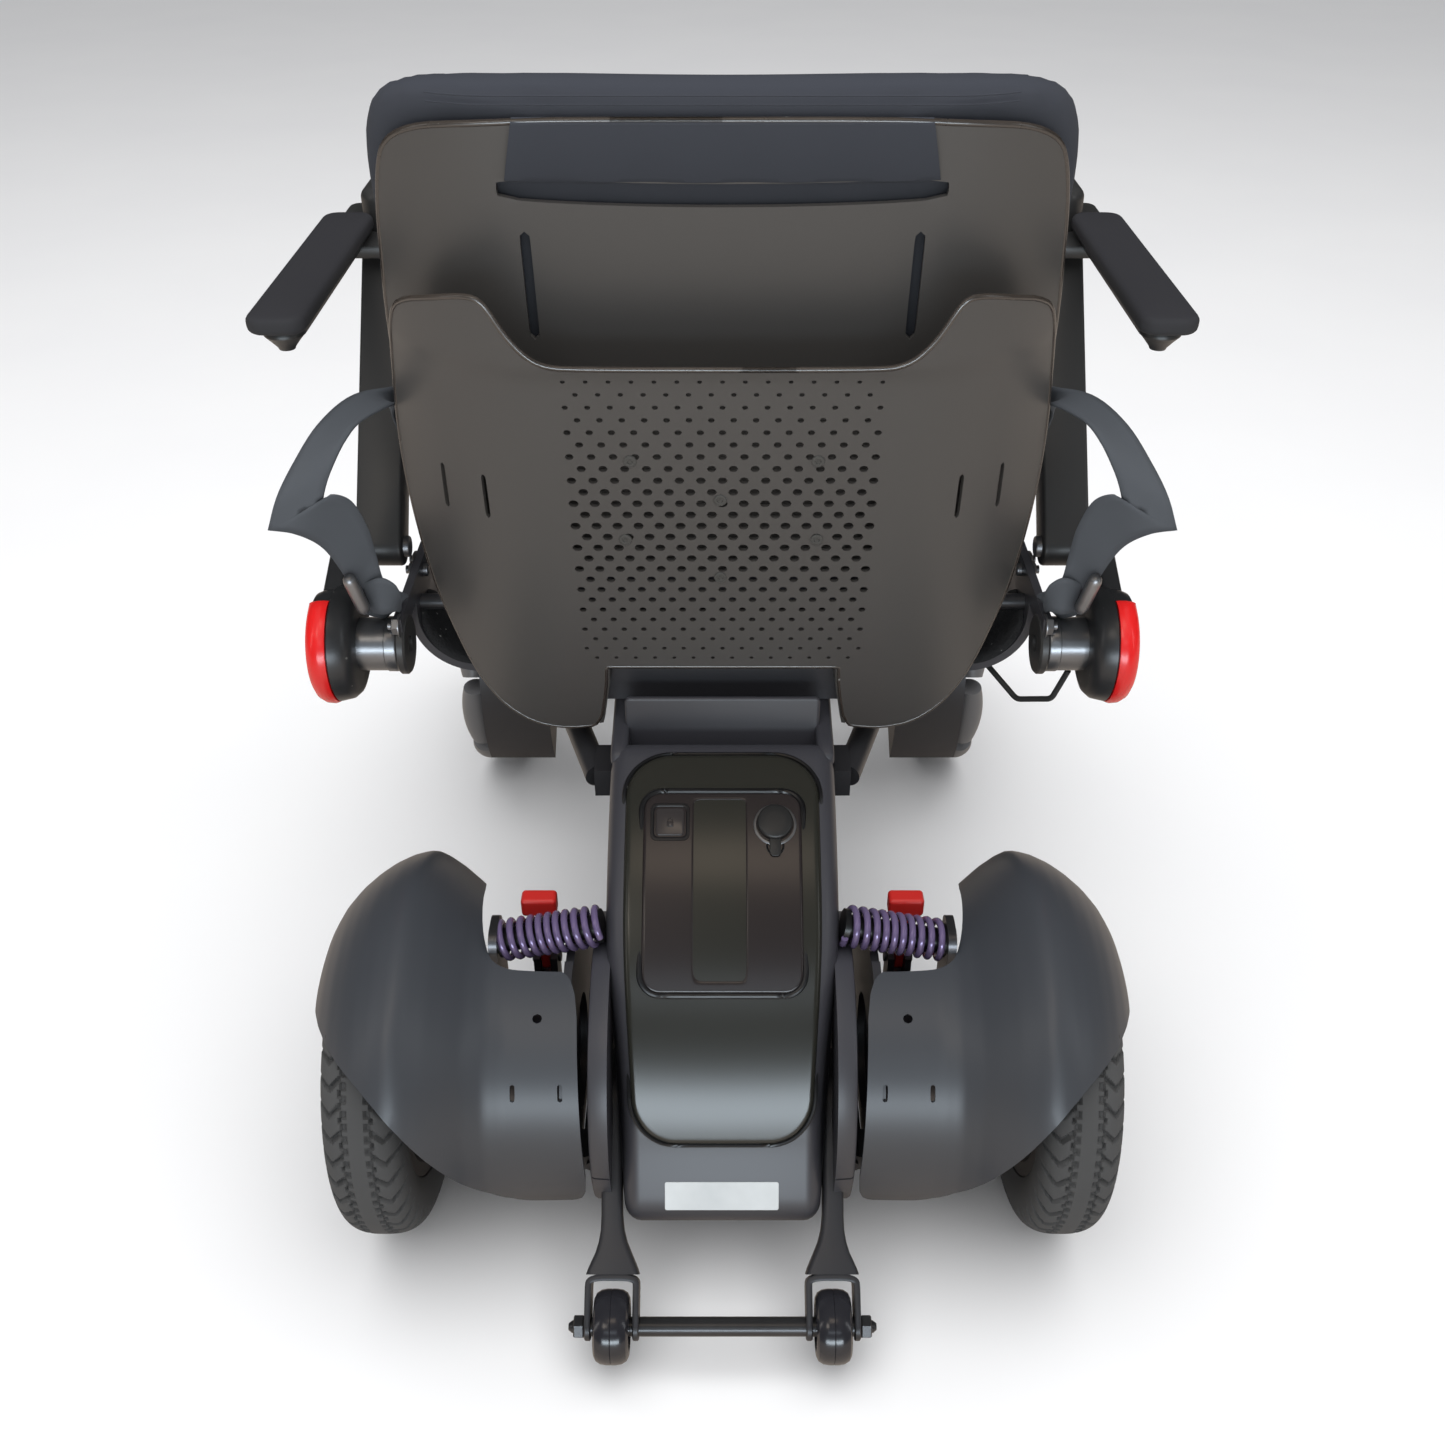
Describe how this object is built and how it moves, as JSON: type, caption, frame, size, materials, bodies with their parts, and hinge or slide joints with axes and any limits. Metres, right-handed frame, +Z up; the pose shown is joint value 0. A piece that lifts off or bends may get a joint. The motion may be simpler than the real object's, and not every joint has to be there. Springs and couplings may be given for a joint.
{
  "type": "power wheelchair",
  "caption": "Compact rear-drive power wheelchair with omni front wheels, a slide-out battery, flip-up arms, a vented back shell and anti-tip wheels.",
  "frame": {"origin": "on the floor, at the middle of the chair's footprint", "axes": "+Z up, the chair faces -Y, +X is the user's left"},
  "size_m": [0.6076, 0.985, 0.8036],
  "materials": {
    "housing_plastic": "satin",
    "cover_gloss": "mirror gloss",
    "frame_paint": "satin",
    "electronics_case": "matte",
    "inner_plastic": "matte",
    "cradle_paint": "satin",
    "bolt_steel": "dark zinc",
    "seat_fabric": "coarse woven",
    "back_fabric": "coarse woven",
    "belt_webbing": "ribbed webbing",
    "buckle_plastic": "satin",
    "arm_plastic": "satin",
    "reflector_red": "prismatic gloss",
    "arm_metal": "satin",
    "cable_black": "matte",
    "spring_violet": "gloss",
    "battery_gloss": "mirror gloss",
    "button_gloss": "gloss",
    "cap_rubber": "satin",
    "shell_plastic": "satin",
    "plug_plastic": "satin",
    "knob_rubber": "matte",
    "footplate_plastic": "ribbed",
    "pod_plastic": "satin",
    "pad_foam": "soft matte",
    "motor_case": "cast",
    "fender_plastic": "satin",
    "rim_paint": "satin",
    "rear_tyre": "matte, dusty",
    "omni_core": "cast",
    "roller_rubber": "satin",
    "tip_wheel_plastic": "gloss",
    "lever_red": "satin"
  },
  "bodies": {
    "chair": {"housing_shell": "housing_plastic", "gloss_cover": "cover_gloss", "chassis_frame": "frame_paint", "control_module": "electronics_case", "battery_dock": "inner_plastic", "seat_cradle": "cradle_paint", "cradle_bolts": "bolt_steel", "front_frame": "frame_paint", "seat_pan": "frame_paint", "seat_cushion": "seat_fabric", "left_belt": "belt_webbing", "right_belt": "belt_webbing", "belt_buckle": "buckle_plastic", "left_arm_bracket": "arm_plastic", "right_arm_bracket": "arm_plastic", "left_reflector": "reflector_red", "right_reflector": "reflector_red", "anti_tip_arms": "arm_metal", "anti_tip_rod": "bolt_steel", "wiring": "cable_black", "left_spring": "spring_violet", "right_spring": "spring_violet"},
    "battery": {"battery_case": "battery_gloss"},
    "release_button": {"battery_release_button": "button_gloss"},
    "port_cap": {"charge_port_cap": "cap_rubber"},
    "backrest": {"back_lower_shell": "shell_plastic", "back_upper_shell": "shell_plastic", "back_cushion": "back_fabric", "back_brackets": "frame_paint", "back_shell_plugs": "plug_plastic"},
    "joystick_ring": {"joystick_gimbal": "bolt_steel"},
    "joystick": {"joystick_knob": "knob_rubber"},
    "speed_control": {"speed_lever": "knob_rubber"},
    "power_switch": {"power_button": "button_gloss"},
    "foot_rest": {"footplate": "footplate_plastic"},
    "left_arm": {"left_arm_frame": "arm_metal", "left_arm_pad": "pad_foam", "switch_housing": "pod_plastic"},
    "left_drive": {"left_swing_arm": "frame_paint", "left_drive_motor": "motor_case", "left_fender": "fender_plastic"},
    "left_wheel": {"left_rear_rim": "rim_paint", "left_rear_tyre": "rear_tyre"},
    "left_front_wheel": {"left_omni_hub": "omni_core", "left_omni_rollers": "roller_rubber"},
    "left_tip_wheel": {"left_anti_tip_wheel": "tip_wheel_plastic"},
    "left_brake_release": {"left_brake_lever": "lever_red"},
    "right_arm": {"right_arm_frame": "arm_metal", "right_arm_pad": "pad_foam", "joystick_housing": "pod_plastic"},
    "right_drive": {"right_swing_arm": "frame_paint", "right_drive_motor": "motor_case", "right_fender": "fender_plastic"},
    "right_wheel": {"right_rear_rim": "rim_paint", "right_rear_tyre": "rear_tyre"},
    "right_front_wheel": {"right_omni_hub": "omni_core", "right_omni_rollers": "roller_rubber"},
    "right_tip_wheel": {"right_anti_tip_wheel": "tip_wheel_plastic"},
    "right_brake_release": {"right_brake_lever": "lever_red"}
  },
  "joints": [
    {"name": "battery_slide", "type": "slide", "parent": "chair", "child": "battery", "axis": [0, 0.6075, 0.7944], "range_m": [0, 0.085]},
    {"name": "battery_release_press", "type": "slide", "parent": "battery", "child": "release_button", "axis": [0, -0.4966, -0.868], "range_m": [0, 0.0015], "stiffness_N_per_m": 900, "springref_m": -0.001},
    {"name": "charge_cap_hinge", "type": "hinge", "parent": "battery", "child": "port_cap", "pos_m": [-0.038, 0.26021, 0.30018], "axis": [-1, 0, 0], "range_deg": [0, 110]},
    {"name": "back_recline", "type": "hinge", "parent": "chair", "child": "backrest", "pos_m": [0, 0.11, 0.421], "axis": [-1, 0, 0], "range_deg": [0, 6]},
    {"name": "left_arm_flip", "type": "hinge", "parent": "chair", "child": "left_arm", "pos_m": [0.255, 0.092, 0.458], "axis": [-1, 0, 0], "range_deg": [0, 50]},
    {"name": "left_suspension", "type": "hinge", "parent": "chair", "child": "left_drive", "pos_m": [0.0965, 0.2955, 0.084], "axis": [0, -1, 0], "range_deg": [0, 2.5], "stiffness_Nm_per_rad": 1600, "springref_deg": -1.72, "deforming": ["left_spring"]},
    {"name": "left_wheel_spin", "type": "hinge", "parent": "left_drive", "child": "left_wheel", "pos_m": [0.248, 0.2955, 0.1325], "axis": [1, 0, 0], "continuous": true},
    {"name": "left_front_wheel_spin", "type": "hinge", "parent": "chair", "child": "left_front_wheel", "pos_m": [0.24, -0.2985, 0.1325], "axis": [1, 0, 0], "continuous": true},
    {"name": "left_tip_wheel_spin", "type": "hinge", "parent": "chair", "child": "left_tip_wheel", "pos_m": [0.078, 0.4675, 0.04], "axis": [1, 0, 0], "continuous": true},
    {"name": "left_brake_lever_swing", "type": "hinge", "parent": "left_drive", "child": "left_brake_release", "pos_m": [0.135, 0.248, 0.186], "axis": [1, 0, 0], "range_deg": [0, 35]},
    {"name": "right_arm_flip", "type": "hinge", "parent": "chair", "child": "right_arm", "pos_m": [-0.255, 0.092, 0.458], "axis": [-1, 0, 0], "range_deg": [0, 50]},
    {"name": "right_suspension", "type": "hinge", "parent": "chair", "child": "right_drive", "pos_m": [-0.0965, 0.2955, 0.084], "axis": [0, 1, 0], "range_deg": [0, 2.5], "stiffness_Nm_per_rad": 1600, "springref_deg": -1.72, "deforming": ["right_spring"]},
    {"name": "right_wheel_spin", "type": "hinge", "parent": "right_drive", "child": "right_wheel", "pos_m": [-0.248, 0.2955, 0.1325], "axis": [1, 0, 0], "continuous": true},
    {"name": "right_front_wheel_spin", "type": "hinge", "parent": "chair", "child": "right_front_wheel", "pos_m": [-0.24, -0.2985, 0.1325], "axis": [1, 0, 0], "continuous": true},
    {"name": "right_tip_wheel_spin", "type": "hinge", "parent": "chair", "child": "right_tip_wheel", "pos_m": [-0.078, 0.4675, 0.04], "axis": [1, 0, 0], "continuous": true},
    {"name": "right_brake_lever_swing", "type": "hinge", "parent": "right_drive", "child": "right_brake_release", "pos_m": [-0.135, 0.248, 0.186], "axis": [1, 0, 0], "range_deg": [0, 35]},
    {"name": "footplate_fold", "type": "hinge", "parent": "chair", "child": "foot_rest", "pos_m": [0, -0.33, 0.096], "axis": [-1, 0, 0], "range_deg": [0, 80]},
    {"name": "joystick_pitch", "type": "hinge", "parent": "right_arm", "child": "joystick_ring", "pos_m": [-0.2545, -0.1195, 0.667], "axis": [1, 0, 0], "range_deg": [-14, 14], "stiffness_Nm_per_rad": 0.4},
    {"name": "joystick_roll", "type": "hinge", "parent": "joystick_ring", "child": "joystick", "pos_m": [-0.2545, -0.1195, 0.667], "axis": [0, 1, 0], "range_deg": [-14, 14], "stiffness_Nm_per_rad": 0.4},
    {"name": "speed_lever_swing", "type": "hinge", "parent": "left_arm", "child": "speed_control", "pos_m": [0.2545, -0.1265, 0.669], "axis": [1, 0, 0], "range_deg": [-20, 20]},
    {"name": "power_button_press", "type": "slide", "parent": "left_arm", "child": "power_switch", "axis": [0, 0, -1], "range_m": [0, 0.0015], "stiffness_N_per_m": 500, "springref_m": -0.001}
  ]
}
